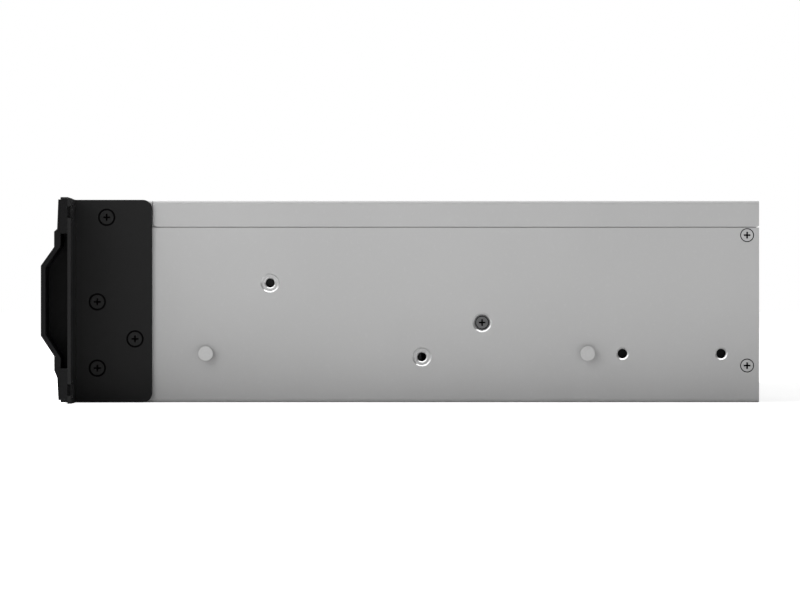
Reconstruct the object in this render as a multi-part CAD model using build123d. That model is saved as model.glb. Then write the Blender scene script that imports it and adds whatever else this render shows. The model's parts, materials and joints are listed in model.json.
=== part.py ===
# A short two-unit rack-mount network storage box with eight hot-swap drive trays.
#
# Frame: millimetres, +Z up, front towards -Y, right-hand side (seen from the front) towards +X.
# The origin is the centre of the footprint, on the face that the box rests on.
# Sheet-steel pan, cover and drive cage; black steel rack ears with moulded grips; plastic trays
# with swing-out levers; backplane, main board, power supply and two 80 mm fans behind them.

import math
import os

from build123d import *

# Drives and bays
drive_width = 101.6
drive_length = 146.6
drive_height = 26.1
drive_lid, drive_lid_margin, drive_lid_chamfer = 1.0, 3.5, 5.0
bays_across = 4
bays_high = 2
row_pitch = 43.3
row_margin = 0.5
drive_gap = 0.2          # drive to tray side
run_gap = 0.4            # tray to bay wall, each side
bay_wall = 0.8           # sheet of the drive cage

# Drive cage
cage_ledge = 6.0         # under each side of a tray
crossbar_depth, crossbar_drop = 9.0, 4.0
cage_windows = 3         # in each wall, per row
cage_window_length, cage_window_height = 32.0, 24.0
cage_window_rise = 10.0  # above the tray's underside
cage_window_chamfer = 4.0

# Sheet metal
sheet = 1.2              # pan and rear panel
cover_sheet = 1.0        # cover and front top plate
slip = 0.2               # clearance between sheets that slide
cage_fit = 0.05          # drive cage between the side walls
bend = 0.6               # inner bend radius
flange_drop = 11.3       # height of the cover's side flange
flange_front_corner, flange_rear_corner = 2.2, 1.0
plain_corner = 1.5       # of openings and boards
joggle_rise = 0.3        # height over which the side wall steps in under that flange
joggle_bend = 0.3

# Overall
body_depth = 297.0       # rack plane to rear face
ear_reach = 25.75        # how far an ear stands out of the body's side
ear_height = 88.0        # two-unit panel
front_plate_depth = 33.2 # fixed strip of the top, ahead of the cover
cover_seam = 0.3

# Rack ears and grips
ear_sheet = 1.5
ear_side_length = 33.2
ear_corner = 4.0
rack_hole_inset = 8.45   # rack's screw column, in from the ear's outer edge
rack_pitch_z = 76.2
rack_slot_radius = 3.4
rack_slot_length = 10.5
slot_lead_in = 5.0       # notch from the slot to the ear's edge
grip_base = 3.0          # moulding's base layer, ahead of the ear
grip_lip = 1.0           # step from the base layer to the face
grip_face_edge = 5.5     # face ahead of the rack plane at top and bottom
grip_face_mid = 6.0      # and beside the raised middle
grip_step = 7.3
grip_reach = 13.0        # tip of the grip ahead of the rack plane
grip_wall = 2.0
grip_low, grip_high = 0.6, 88.6
grip_corner = 1.5
grip_tip_round = 1.2
grip_slot_room = 0.5     # around the rack's slots
grip_step_low, grip_step_high = 14.3, 73.8
grip_step_chamfer_low, grip_step_chamfer_high = 3.1, 1.2
grip_root_low, grip_root_high = 20.4, 67.2
grip_tip_low, grip_tip_high = 29.2, 59.2
pocket_low, pocket_high = 15.2, 73.0
control_strip = 10.0     # width of the closed inner side of the grip
strip_wall = 1.4

# Front controls
power_radius = 2.8
power_height = 53.0
mute_radius = 1.2
mute_drop = 19.0         # below the power button's centre
lamp_radius = 0.8
lamp_drops = (14.0, 10.0, 6.0)
button_gap = 0.2
button_lip = 0.6
button_flange = 0.8
stem_gap = 0.2
control_margin = 5.0     # control board's ends above and below the buttons' centres
power_travel = 1.0
board_back = 2.0         # control board's rear face ahead of the rack plane
board_thick = 1.2
switch_height = 3.4
switch_size = 6.0
small_switch_size = 4.0
switch_stem_radius = 1.0
light_pipe_width = 2.4
light_pipe_thick = 1.5

# Trays, levers and drives
tray_side = 1.3
tray_floor = 1.6
tray_side_height = 21.0
floor_bar = 14.0         # strips left around the floor's windows
side_slot_length = 38.0
side_slot_rise = 11.0
side_slot_height = 6.0
tray_front_rise = 5.0
bezel_rim = 1.6
bezel_chamfer = 0.5
bezel_gap = 0.8
bezel_reach = 5.7        # bezel's face ahead of the rack plane
bezel_wall = 2.0
vent_count = 11
vent_width = 5.0
vent_height = 15.0
vent_pitch = 6.6
vent_centre = 31.4       # above the bezel's lower edge
lever_height = 13.6
lever_centre = 12.0      # above the bezel's lower edge
lever_thick = 4.0
lever_proud = 1.1        # lever's face ahead of the bezel's
lever_gap = 0.5
lever_length = 82.0      # from its pivot to its free end
lever_tab = 12.0         # press tab at the free end
lever_grooves = 3
groove = 0.7
lever_hollow_length, lever_hollow_depth = 54.0, 0.9
lever_border, lever_rim = 5.0, 2.4
lever_panel_depth = 0.5
slit_width = 0.8
swing_room = 1.2         # beside the lever's barrel
pivot_x = -45.0
pivot_depth = 2.9        # pivot behind the lever's face
knuckle_radius = 2.5
trunnion_radius = 1.3
trunnion_length = 1.4
trunnion_play = 0.05
tray_lamp_x = 46.0
tray_lamp_heights = (27.5, 33.5)
tray_lamp_width, tray_lamp_height, tray_lamp_depth = 3.4, 1.4, 0.6
drive_setback = 3.6      # drive's front end behind the rack plane

# Backplane
backplane_thick = 1.6
backplane_gap = 6.0      # drive's rear end to the board
plug_gap = 0.3           # drive to its connector
plug_width, plug_height = 42.0, 5.0
plug_offset = 12.0       # connector's centre from the drive's centre line
plug_rise = 5.2          # connector's centre above the tray's floor
plug_room = 1.0          # around and behind the connector, in the drive
plug_cavity = 5.0
air_hole_margin = 8.0    # beside a drive's air hole
air_hole_low, air_hole_high = 12.0, 32.0
air_hole_corner = 3.0
backplane_margin = 4.0

# Rear fans
fan_lift = 0.8
fan_head = 3.2
fan_depth = 25.0
fan_gap = 2.0            # between the two fans
fan_supply_gap = 1.05    # from the power supply's side to the nearer fan
fan_bore_margin = 1.9
fan_hub_radius = 18.0
fan_hole_inset = 4.25
fan_hole_radius = 2.1
fan_blades = 7
base_thick = 3.0
tube_radius = 4.0
shaft_radius = 1.5
shaft_play = 0.05
tip_gap = 0.9
rotor_gap = 1.0          # rotor to the motor base, and inside the frame's mouth
cup_wall, cup_round = 1.6, 1.5
blade_thick = 1.5
blade_share = 0.9        # of the rotor's height
blade_steep, blade_flat = 50.0, 32.0       # degrees from the plane of turning, at root and tip
blade_root_camber, blade_tip_camber = 1.6, 2.6
blade_root_sink = 0.8
fan_corner = 3.0
fan_strut = 4.0
fan_waist_share, fan_scallop_share, fan_tube_share = 0.68, 0.62, 0.35
grille_bar = 3.0
grille_hub = 14.0
grille_rings = 3

# Power supply
supply_width = 98.0
supply_height = 44.0
supply_gap = 18.8        # behind the backplane
supply_wall = 1.0
supply_bore, supply_hub = 19.0, 10.0       # of its fan
supply_grille_hub, supply_grille_bar = 5.0, 1.8
supply_vents = 9
supply_vent_pitch = 9.0
supply_vent_width = 4.0
supply_vent_depth = 6.0
supply_vent_margin = 9.0 # above and below the air slots
supply_inset = 3.0       # from the side wall
supply_fan_size = 40.0
supply_fan_depth = 20.0
supply_fan_centre = 26.0 # from the supply's inner side
inlet_centre = 74.0
inlet_width, inlet_height, inlet_depth = 28.0, 20.4, 19.0
inlet_wall_x, inlet_wall_z = 2.0, 2.0
inlet_mouth_depth = 16.0
inlet_chamfer = 4.0
pin_length, pin_width, pin_height = 13.0, 2.0, 4.0
pin_pitch, pin_rise, pin_drop = 7.0, 3.0, 1.0
supply_window = 2.5

# Main board and what stands on it, placed from its left and front edges
board_rise = 6.0
main_thick = 1.6
board_left = 8.5         # from the left side wall
board_gap = 8.2          # behind the backplane
board_rear_gap = 0.6
board_fan_gap = 5.0
board_under_fan = 14.0   # right-hand edge, in from the right fan's side
io_region = 144.0        # width of the part that reaches the rear panel
post_radius, post_hole, post_inset = 3.0, 1.6, 6.0
post_rear_inset = 40.0
cooler_from_left, cooler_from_front = 78.0, 44.0
cooler_size, cooler_base, cooler_height = 62.0, 5.0, 30.0
cooler_fins, fin_thick = 13, 1.6
processor_size, processor_height = 34.0, 2.0
capacitor_count, capacitor_pitch = 5, 12.0
capacitor_radius, capacitor_height = 4.0, 11.0
chipset_size, chipset_height = 14.0, 1.6
memory_from_right = 86.0
memory_from_front, memory_pitch = 16.0, 12.0
memory_socket_length, memory_socket_width, memory_socket_height = 72.0, 6.0, 5.0
module_length, module_height, module_thick = 67.6, 26.0, 1.2
chip_count, chip_pitch = 4, 16.6
chip_width, chip_height, chip_thick, chip_rise = 11.0, 13.0, 1.0, 9.0
card_slot_length, card_slot_width, card_slot_height = 58.0, 8.0, 11.0
card_slot_inset = 42.0   # from the board's rear edge
power_plug_length, power_plug_width, power_plug_height = 26.0, 10.0, 10.0
power_plug_inset = 8.0
power_plug_from_front = 30.0
socket_gap = 0.3

# Rear sockets: distance of each socket's centre from the left side wall, width and height
lan_pitch = 18.0
lan_first = 85.0
lan_width, lan_height, lan_depth = 16.0, 13.6, 21.0
lan_hole_width, lan_hole_height, lan_hole_depth = 11.8, 8.2, 14.0
lan_hole_drop = 0.6
lan_latch_width, lan_latch_rise = 6.0, 1.8
tongue_side, tongue_setback, tongue_thick = 0.8, 1.0, 1.4
usb_centre = 68.5
usb_width, usb_height, usb_depth = 13.2, 15.6, 17.0
usb_hole, usb_hole_depth = (11.6, 4.6), 10.0
usb_shares = (0.27, 0.73) # heights of the two holes, as shares of the shell's
usb_tongue_rise = 2.3
esata_centre = 51.0
esata_width, esata_height, esata_depth = 15.0, 6.0, 12.0
esata_hole, esata_hole_depth = (12.0, 4.0), 7.0
esata_tongue_rise = 1.3
reset_centre = 39.0
reset_height = 14.5
reset_radius = 1.4
reset_travel = 0.8
reset_stem = 4.0
reset_flange = 0.8
reset_switch_size = 6.0
slot_cover_centre = 20.0
slot_cover_width = 18.4
slot_window = 12.0
slot_screw_inset = 4.0   # in from the blank's side
slot_screw_drop = 8.0    # below the ceiling
slot_window_drop = 12.0
slot_cover_thick = 1.0
rear_vent_count = 15
rear_vent_pitch = 7.2
rear_vent_width = 4.4
rear_vent_low, rear_vent_high = 34.0, 70.0

# Side fixings: (distance ahead of the rear face, height)
rear_screw_inset = 5.2
rear_screw_heights = (16.0, 72.7)
rail_stud_behind_ear, rail_stud_ahead_of_rear = 23.3, 74.6
rail_stud_height = 21.3
rail_hole_insets = (16.5, 59.4)
rail_hole_height = 21.2
dimple_screw_place = (120.4, 34.7)
insert_places = ((5.8, 19.8), (71.8, 51.9))    # ahead of the drive cage's rear end, height
ear_screw_places = ((13.5, 80.4), (9.4, 43.7), (25.8, 27.6), (9.4, 14.9))  # behind the rack plane, height
dimple_radius = 4.15
dimple_depth = 0.5
dimple_slope = 0.6       # width of the dimple's sloping rim
insert_rim = 0.5         # chamfer at the insert's mouth
dimple_hole_radius = 1.95
nut_radius = 3.2
rail_hole_radius = 2.05
rail_hole_rim = 0.7
stud_head_radius = 3.2
stud_head_thick = 1.2
stud_neck_radius = 2.4
stud_neck_length = 1.4
ear_head_radius = 3.75
ear_head_depth = 1.4
ear_shank_radius = 1.9
small_head_radius = 3.0
small_head_depth = 1.0
small_shank_radius = 1.4
screw_fit = 0.1          # head and shank in their holes

# Rear panel and cover fixing
panel_flange = 8.5
panel_flange_margin = 5.0
tongue_length = 8.0
tongue_side_gap = 1.5
lip_drop = 5.0
tab_drop = 12.5
tab_width = 16.0
tab_screw_height = 79.5
tab_beside_slot = 42.0
lip_screw_head = 2.7

# Sizes that follow
tray_width = drive_width + 2 * (drive_gap + tray_side)
bay_width = tray_width + 2 * run_gap
bay_pitch = bay_width + bay_wall
cage_width = bays_across * bay_pitch + bay_wall
joggle = cover_sheet + slip
body_width = cage_width + 2 * (cage_fit + sheet + joggle)
body_height = bays_high * row_pitch + 2 * row_margin
half = body_width / 2
ear_outer = half + ear_reach
rack_x = ear_outer - rack_hole_inset
y_rear = (body_depth + grip_reach) / 2
y_rack = y_rear - body_depth
y_cover = y_rack + front_plate_depth + cover_seam
y_panel = y_rear - cover_sheet - slip          # rear panel's outer face
y_panel_in = y_panel - sheet
z_seam = body_height - flange_drop
panel_shoulder = z_seam - joggle_rise - sheet  # above this the rear panel fits inside the stepped walls
z_tongue = body_height - 2 * cover_sheet - slip   # underside of the cover's front tongue
z_ceiling = z_tongue - slip                    # nothing fixed reaches above this
wall_x = half - sheet                          # side wall's inner face
y_drive = y_rack + drive_setback
y_drive_end = y_drive + drive_length
y_backplane = y_drive_end + backplane_gap
y_behind_backplane = y_backplane + backplane_thick
tray_lift = sheet + bay_wall + slip - row_margin   # tray's underside above its row's lower line
fan_size = z_ceiling - fan_head - sheet - fan_lift
fan_centre_z = sheet + fan_lift + fan_size / 2
fan_bore = fan_size / 2 - fan_bore_margin
rack_holes_z = [ear_height / 2 + side * rack_pitch_z / 2 for side in (-1, 1)]
supply_x = wall_x - supply_inset - supply_width
supply_front = y_behind_backplane + supply_gap
fan_pitch = fan_size + fan_gap
fan_first_x = supply_x - fan_supply_gap - fan_size / 2   # centre of the fan next to the power supply
cap_inner = 2 * bay_pitch + bezel_gap / 2      # grip's inner side, beside the outermost bezel
strip_x = cap_inner + control_strip / 2
mute_height = power_height - mute_drop
lamp_heights = [power_height - drop for drop in lamp_drops]
z_board = sheet + board_rise
z_board_top = z_board + main_thick
board_x = -wall_x + board_left                 # board's left edge
board_inner = board_x + io_region
board_right = fan_first_x + fan_size / 2 - board_under_fan
board_front = y_behind_backplane + board_gap
board_rear = y_panel_in - board_rear_gap
board_fan_edge = y_panel_in - fan_depth - board_fan_gap
slot_x = -wall_x + slot_cover_centre


def block(x, y, z):
    """A box from three (low, high) pairs."""
    box = Box(x[1] - x[0], y[1] - y[0], z[1] - z[0])
    return Pos(sum(x) / 2, sum(y) / 2, sum(z) / 2) * box


def span(middle, width):
    """The (low, high) pair of that width about a middle."""
    return middle - width / 2, middle + width / 2


def row_of(count, pitch, middle=0):
    """Evenly spaced places about a middle."""
    return [middle + (i - (count - 1) / 2) * pitch for i in range(count)]


def along_x(profile, low, high):
    """A profile drawn in Y and Z, run from x low to x high."""
    plane = Plane(origin=(low, 0, 0), x_dir=(0, 1, 0), z_dir=(1, 0, 0))
    return extrude(plane * profile, high - low, dir=(1, 0, 0))


def along_y(profile, low, high):
    """A profile drawn in X and Z, run from y low to y high."""
    plane = Plane(origin=(0, high, 0), x_dir=(1, 0, 0), z_dir=(0, -1, 0))
    return extrude(plane * profile, high - low, dir=(0, -1, 0))


def along_z(profile, low, high):
    """A profile drawn in X and Y, run from z low to z high."""
    return extrude(Plane(origin=(0, 0, low)) * profile, high - low, dir=(0, 0, 1))


def rod_x(y, z, radius, low, high):
    return along_x(Pos(y, z) * Circle(radius), low, high)


def rod_y(x, z, radius, low, high):
    return along_y(Pos(x, z) * Circle(radius), low, high)


def rod_z(x, y, radius, low, high):
    return along_z(Pos(x, y) * Circle(radius), low, high)


def rectangle(x, z, radius=0):
    """A flat rectangle from two (low, high) pairs, its corners rounded by radius."""
    size = (x[1] - x[0], z[1] - z[0])
    face = RectangleRounded(*size, radius) if radius else Rectangle(*size)
    return Pos(sum(x) / 2, sum(z) / 2) * face


def bent(points, thickness, radii):
    """The section of a bent sheet, laid to the left of a line through points."""
    line = FilletPolyline(*points, radius=radii)
    return make_face(offset(line, amount=thickness, side=Side.LEFT, closed=True))


def both_sides(shape):
    """A right-hand shape and its mirror image."""
    return [shape, mirror(shape, Plane.YZ)]


def flat_screw(head, depth, shank, length):
    """A countersunk screw, its head's flat at the origin and its shank along -Z."""
    profile = Polyline((0, 0), (head, 0), (shank, -depth), (shank, -length), (0, -length), close=True)
    return revolve(make_face(Plane.XZ * profile), Axis.Z)


def flat_screw_hole(head, depth, shank, length):
    return flat_screw(head + screw_fit, depth, shank + screw_fit, length)


def facing_side(shape, y, z, x=half):
    """Turns a shape made along Z to point out of the right-hand side."""
    return Pos(x, y, z) * (Rot(0, 90, 0) * shape)


def facing_rear(shape, x, z, y=y_panel):
    """Turns a shape made along Z to point out of the rear."""
    return Pos(x, y, z) * (Rot(-90, 0, 0) * shape)


def ear_screws_at(make):
    """make(length) at each of the right ear's screws, flush with the ear's outer face."""
    x = half + ear_sheet
    length = x - (cage_width / 2 - bay_wall)
    return [facing_side(make(length), y_rack + back, z, x) for back, z in ear_screw_places]


def ear_screw(length):
    return flat_screw(ear_head_radius, ear_head_depth, ear_shank_radius, length)


def ear_screw_hole(length):
    return flat_screw_hole(ear_head_radius, ear_head_depth, ear_shank_radius, length)


def small_screw(length, make=flat_screw):
    return make(small_head_radius, small_head_depth, small_shank_radius, length)


def dimple():
    """A shallow dish with a sloping rim, its mouth at the origin."""
    floor = dimple_radius - dimple_slope
    points = [(0, 0), (dimple_radius, 0), (floor, -dimple_depth), (0, -dimple_depth)]
    return revolve(make_face(Plane.XZ * Polyline(*points, close=True)), Axis.Z)


def insert_centres():
    """(y, z) of the dimpled inserts, which stand beside the drive cage."""
    return [(y_backplane - inset, z) for inset, z in insert_places]


def side_wall_cuts():
    """What is cut through the right-hand wall of the pan."""
    inner = half - 2 * sheet - joggle
    hole = ear_shank_radius + screw_fit
    cuts = [rod_x(y_rack + back, z, hole, inner, half + ear_sheet) for back, z in ear_screw_places]
    for z in rear_screw_heights:
        cuts.append(facing_side(small_screw(3 * sheet, flat_screw_hole), y_rear - rear_screw_inset, z))
    rim = rail_hole_radius + rail_hole_rim
    for inset in rail_hole_insets:
        hole = flat_screw(rim, rail_hole_rim, rail_hole_radius, 3 * sheet)
        cuts.append(facing_side(hole, y_rear - inset, rail_hole_height))
    mouth = flat_screw(dimple_hole_radius + insert_rim, insert_rim, dimple_hole_radius, 4 * sheet)
    for y, z in insert_centres():
        cuts.append(facing_side(dimple(), y, z))
        cuts.append(facing_side(mouth, y, z, half - dimple_depth))
    inset, z = dimple_screw_place
    cuts.append(facing_side(dimple(), y_rear - inset, z))
    screw = small_screw(3 * sheet, flat_screw_hole)
    cuts.append(facing_side(screw, y_rear - inset, z, half - dimple_depth))
    return cuts


def chassis_pan():
    """Floor and both side walls, bent from one sheet, the walls stepped in under the cover's flange."""
    top = body_height - cover_sheet - slip
    inner = half - joggle
    right = [(half, 0), (half, z_seam - joggle_rise), (inner, z_seam), (inner, top)]
    left = [(-x, z) for x, z in reversed(right)]
    outer = bend + sheet
    radii = [joggle_bend, joggle_bend, outer, outer, joggle_bend, joggle_bend]
    pan = along_y(bent(left + right, sheet, radii), y_rack, y_rear)
    corner = block((inner - 2 * sheet, half), (y_panel, y_rear), (z_seam - joggle_rise, top))
    pan -= both_sides(corner)
    nut_end = wall_x - (joggle - cage_fit) + slip
    places = [*insert_centres(), (y_rear - dimple_screw_place[0], dimple_screw_place[1])]
    for y, z in places:
        pan += both_sides(rod_x(y, z, nut_radius, nut_end, wall_x))
    pan += [rod_z(x, y, post_radius, sheet, z_board) for x, y in standoffs()]
    for cut in side_wall_cuts():
        pan -= both_sides(cut)
    return pan


def top_section(drop_end):
    """Section of the cover and the front top plate: a flat top with a flange down each side."""
    points = [(half, drop_end), (half, body_height), (-half, body_height), (-half, drop_end)]
    outer = bend + cover_sheet
    return bent(points, cover_sheet, [outer, outer])


def flange_corner(y, radius):
    """Rounds the lower corner of both side flanges at one end, y."""
    end, start = (y, y + radius) if y < 0 else (y, y - radius)
    square = Pos((end + start) / 2, z_seam + radius / 2) * Rectangle(radius, radius)
    return along_x(square - Pos(start, z_seam + radius) * Circle(radius), -half, half)


def front_top_plate():
    """The fixed strip of the top ahead of the cover, with a flange down its front."""
    plate = along_y(top_section(z_seam), y_rack, y_rack + front_plate_depth)
    reach = half - sheet - joggle - tongue_side_gap
    plate += block((-reach, reach), (y_rack, y_rack + cover_sheet), (z_ceiling, body_height - cover_sheet))
    for cut in ear_screws_at(ear_screw_hole):
        plate -= both_sides(cut)
    return plate


def cover_tabs():
    """Where the cover's three rear tabs are, clear of the fans' screws."""
    gap_by_fans = fan_first_x - fan_pitch - fan_size / 2 - tab_width / 2
    return (slot_x + tab_beside_slot, gap_by_fans, supply_x + supply_width / 2 + tab_width)


def top_cover():
    """The removable cover: it slides back from under the front top plate."""
    cover = along_y(top_section(z_seam), y_cover, y_rear)
    corners = flange_corner(y_cover, flange_front_corner) + flange_corner(y_rear, flange_rear_corner)
    cover -= corners
    reach = half - sheet - joggle - tongue_side_gap
    step = cover_sheet + slip
    tongue = Polygon(
        (y_cover - tongue_length, z_tongue),
        (y_cover + step, z_tongue),
        (y_cover + 2 * step, body_height - cover_sheet),
        (y_cover + 2 * step, body_height),
        (y_cover, body_height),
        (y_cover, z_tongue + cover_sheet),
        (y_cover - tongue_length, z_tongue + cover_sheet),
        align=None,
    )
    cover += along_x(tongue, -reach, reach)
    lip = rectangle((-half + bend, half - bend), (body_height - lip_drop, body_height - bend))
    for x in cover_tabs():
        lip += rectangle(span(x, tab_width), (body_height - tab_drop, body_height - lip_drop))
    cover += along_y(lip, y_rear - cover_sheet, y_rear)
    for x in cover_tabs():
        hole = flat_screw_hole(lip_screw_head, small_head_depth, small_shank_radius, 3 * sheet)
        cover -= facing_rear(hole, x, tab_screw_height, y_rear)
    return cover


def fan_places():
    """Centres of the two rear fans, in x."""
    return [fan_first_x, fan_first_x - fan_pitch]


def ring_grille(radius, hub, rings, bar):
    """Arc slots between concentric bars and four spokes, drawn about the origin."""
    pitch = (radius - hub + bar) / rings
    slots = Sketch()
    for ring in range(rings):
        outer = radius - ring * pitch
        slots += Circle(outer) - Circle(outer - pitch + bar)
    for angle in (45, 135):
        slots -= Rot(0, 0, angle) * Rectangle(2 * radius + 1, bar)
    return slots


def lan_places():
    """Centres of the four network sockets, in x."""
    return [-wall_x + lan_first + i * lan_pitch for i in range(4)]


def window(centre, width, low, high, gap=socket_gap):
    return rectangle((centre - width / 2 - gap, centre + width / 2 + gap), (low - gap, high + gap))


def fan_screw_places():
    """(x, z) of the rear fans' screws."""
    inset = fan_size / 2 - fan_hole_inset
    places = []
    for x in fan_places():
        places += [(x + dx * inset, fan_centre_z + dz * inset) for dx in (-1, 1) for dz in (-1, 1)]
    return places


def slot_screw_place():
    """(x, z) of the screw through the expansion slot's blank."""
    return slot_x + slot_cover_width / 2 - slot_screw_inset, z_ceiling - slot_screw_drop


def rear_panel():
    """Rear panel, with a flange along each side wall, and its openings."""
    top = z_ceiling
    wide = rectangle((-wall_x, wall_x), (sheet, panel_shoulder), bend + slip)
    narrow = rectangle((-wall_x + joggle + slip, wall_x - joggle - slip), (sheet, top))
    outline = wide + narrow
    for x in fan_places():
        outline -= Pos(x, fan_centre_z) * ring_grille(fan_bore, grille_hub, grille_rings, grille_bar)
    for x, z in fan_screw_places():
        outline -= Pos(x, z) * Circle(small_shank_radius + screw_fit)
    wide = (supply_x + supply_window, supply_x + supply_width - supply_window)
    high = (sheet + supply_window, sheet + supply_height - supply_window)
    outline -= rectangle(wide, high, plain_corner)
    for x in lan_places():
        outline -= window(x, lan_width, z_board_top, z_board_top + lan_height)
    left = -wall_x
    outline -= window(left + usb_centre, usb_width, z_board_top, z_board_top + usb_height)
    outline -= window(left + esata_centre, esata_width, z_board_top, z_board_top + esata_height)
    outline -= Pos(left + reset_centre, reset_height) * Circle(reset_radius + button_gap)
    opening = span(slot_x, slot_window)
    outline -= rectangle(opening, (z_board_top + processor_height, top - slot_window_drop))
    vent_x = (left + esata_centre + lan_places()[-1]) / 2
    for x in row_of(rear_vent_count, rear_vent_pitch, vent_x):
        outline -= rectangle(span(x, rear_vent_width), (rear_vent_low, rear_vent_high))
    panel = along_y(outline, y_panel_in, y_panel)
    low, high = panel_flange_margin, panel_shoulder - slip
    flange = block((wall_x - sheet, wall_x), (y_panel - panel_flange, y_panel_in), (low, high))
    panel += both_sides(flange)
    for z in rear_screw_heights:
        hole = rod_x(y_rear - rear_screw_inset, z, small_shank_radius + screw_fit, wall_x - 2 * sheet, wall_x)
        panel -= both_sides(hole)
    for x in cover_tabs():
        hole = flat_screw_hole(lip_screw_head, small_head_depth, small_shank_radius, 3 * sheet)
        panel -= facing_rear(hole, x, tab_screw_height, y_rear)
    x, z = slot_screw_place()
    panel -= rod_y(x, z, small_shank_radius + screw_fit, y_panel_in, y_panel)
    return panel


def cage_walls_x():
    """Centre of each cage wall, in x."""
    return [(i - bays_across / 2) * bay_pitch for i in range(bays_across + 1)]


def tray_z(row):
    """Underside of a tray."""
    return row_margin + row * row_pitch + tray_lift


def drive_cage():
    """Walls with a ledge under every tray, hung from a top sheet and tied by a bar between the rows."""
    edge = cage_width / 2
    section = rectangle((-edge, edge), (z_ceiling - cover_sheet, z_ceiling))
    for x in cage_walls_x():
        section += rectangle(span(x, bay_wall), (sheet, z_ceiling))
        low, high = max(x - cage_ledge, -edge), min(x + cage_ledge, edge)
        for row in range(bays_high):
            top = tray_z(row) - slip
            section += rectangle((low, high), (top - bay_wall, top))
    cage = along_y(section, y_rack, y_backplane)
    for row in range(1, bays_high):
        top = tray_z(row) - slip
        points = [(y_rack + crossbar_depth, top), (y_rack, top), (y_rack, top - crossbar_drop)]
        bar = bent(points, bay_wall, bend + bay_wall)
        cage += along_x(bar, -edge, edge)
    pitch = (y_backplane - y_rack) / cage_windows
    reach = cage_window_length / 2
    for row in range(bays_high):
        low = tray_z(row) + cage_window_rise
        for i in range(cage_windows):
            y = y_rack + (i + 0.5) * pitch
            hole = rectangle((y - reach, y + reach), (low, low + cage_window_height))
            hole = chamfer(hole.vertices(), cage_window_chamfer)
            cage -= along_x(hole, -edge + bay_pitch / 2, edge - bay_pitch / 2)
    for y, z in insert_centres():
        cage -= both_sides(rod_x(y, z, dimple_hole_radius, edge - 2 * bay_wall, edge))
    for back, z in ear_screw_places:
        hole = rod_x(y_rack + back, z, ear_shank_radius + screw_fit, edge - 2 * bay_wall, edge)
        cage -= both_sides(hole)
    return cage


def ear_bracket():
    """Right-hand rack ear: a side plate on the wall and a flange for the rack's screws."""
    y_front = y_rack - ear_sheet
    length = ear_sheet + ear_side_length
    side = Pos(y_front + length / 2, ear_height / 2) * Rectangle(length, ear_height)
    corners = side.vertices().group_by(Axis.X)[-1]
    side = fillet(corners, ear_corner)
    ear = along_x(side, half, half + ear_sheet)
    flange = rectangle((half, ear_outer), (0, ear_height))
    for z in rack_holes_z:
        slot = Pos(rack_x, z) * SlotOverall(rack_slot_length, 2 * rack_slot_radius)
        flange -= slot
        flange -= rectangle((rack_x, ear_outer), span(z, slot_lead_in))
    ear += along_y(flange, y_front, y_rack)
    for cut in ear_screws_at(ear_screw_hole):
        ear -= cut
    return ear


def ahead(distance):
    """y of a plane that far ahead of the rack plane."""
    return y_rack - distance


def grip_profile():
    """Side view of the grip's face: flat ends, a raised middle and a trapezoid bow."""
    points = [
        (grip_base + ear_sheet - 0.5, grip_low + grip_lip),
        (grip_face_edge, grip_low + grip_lip),
        (grip_face_mid, grip_step_low - grip_step_chamfer_low),
        (grip_step, grip_step_low),
        (grip_step, grip_root_low),
        (grip_reach, grip_tip_low),
        (grip_reach, grip_tip_high),
        (grip_step, grip_root_high),
        (grip_step, grip_step_high),
        (grip_face_mid, grip_step_high + grip_step_chamfer_high),
        (grip_face_edge, grip_high - grip_lip),
        (grip_base + ear_sheet - 0.5, grip_high - grip_lip),
    ]
    return make_face(Polyline(*[(ahead(f), z) for f, z in points], close=True))


def bow_cavity():
    """The space inside the bow, one wall in from its outline, open towards the ear."""
    back = ear_sheet
    run = grip_reach - grip_step
    low_slope = (grip_tip_low - grip_root_low) / run
    high_slope = (grip_root_high - grip_tip_high) / run
    inner = grip_reach - grip_wall
    low_in = grip_tip_low + grip_wall * (math.hypot(1, low_slope) - low_slope)
    high_in = grip_tip_high - grip_wall * (math.hypot(1, high_slope) - high_slope)
    root = grip_base + ear_sheet
    fall = inner - root
    points = [
        (back, low_in - fall * low_slope),
        (root, low_in - fall * low_slope),
        (inner, low_in),
        (inner, high_in),
        (root, high_in + fall * high_slope),
        (back, high_in + fall * high_slope),
    ]
    return make_face(Polyline(*[(ahead(f), z) for f, z in points], close=True))


def grip(with_controls):
    """Right-hand moulded grip. Fingers reach in from its outer side, behind the bow."""
    outer = ear_outer
    base = rectangle((cap_inner, outer), (grip_low, grip_high), grip_corner)
    shape = along_y(base, ahead(ear_sheet + grip_base), ahead(ear_sheet))
    face = along_x(grip_profile(), cap_inner + grip_lip, outer - grip_lip)
    tip = face.edges().filter_by(Axis.X).group_by(Axis.Y)[0]
    shape += fillet(tip, grip_tip_round)
    web = cap_inner + control_strip
    shape -= along_x(bow_cavity(), web, outer)
    shape -= block((web, outer), (ahead(ear_sheet + grip_base), ahead(ear_sheet)), (pocket_low, pocket_high))
    for z in rack_holes_z:
        width = 2 * (rack_slot_radius + grip_slot_room)
        slot = Pos(rack_x, z) * SlotOverall(rack_slot_length + 2 * grip_slot_room, width)
        shape -= along_y(slot, ahead(grip_reach), y_rack)
    if with_controls:
        low, high = mute_height - control_margin, power_height + control_margin
        room = (cap_inner + strip_wall, web - strip_wall)
        shape -= block(room, (ahead(grip_reach - grip_wall), ahead(ear_sheet)), (low, high))
        holes = [(power_height, power_radius + button_gap), (mute_height, mute_radius + button_gap)]
        holes += [(z, lamp_radius + trunnion_play) for z in lamp_heights]
        for z, radius in holes:
            shape -= rod_y(strip_x, z, radius, ahead(grip_reach), ahead(grip_step))
    return shape


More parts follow.
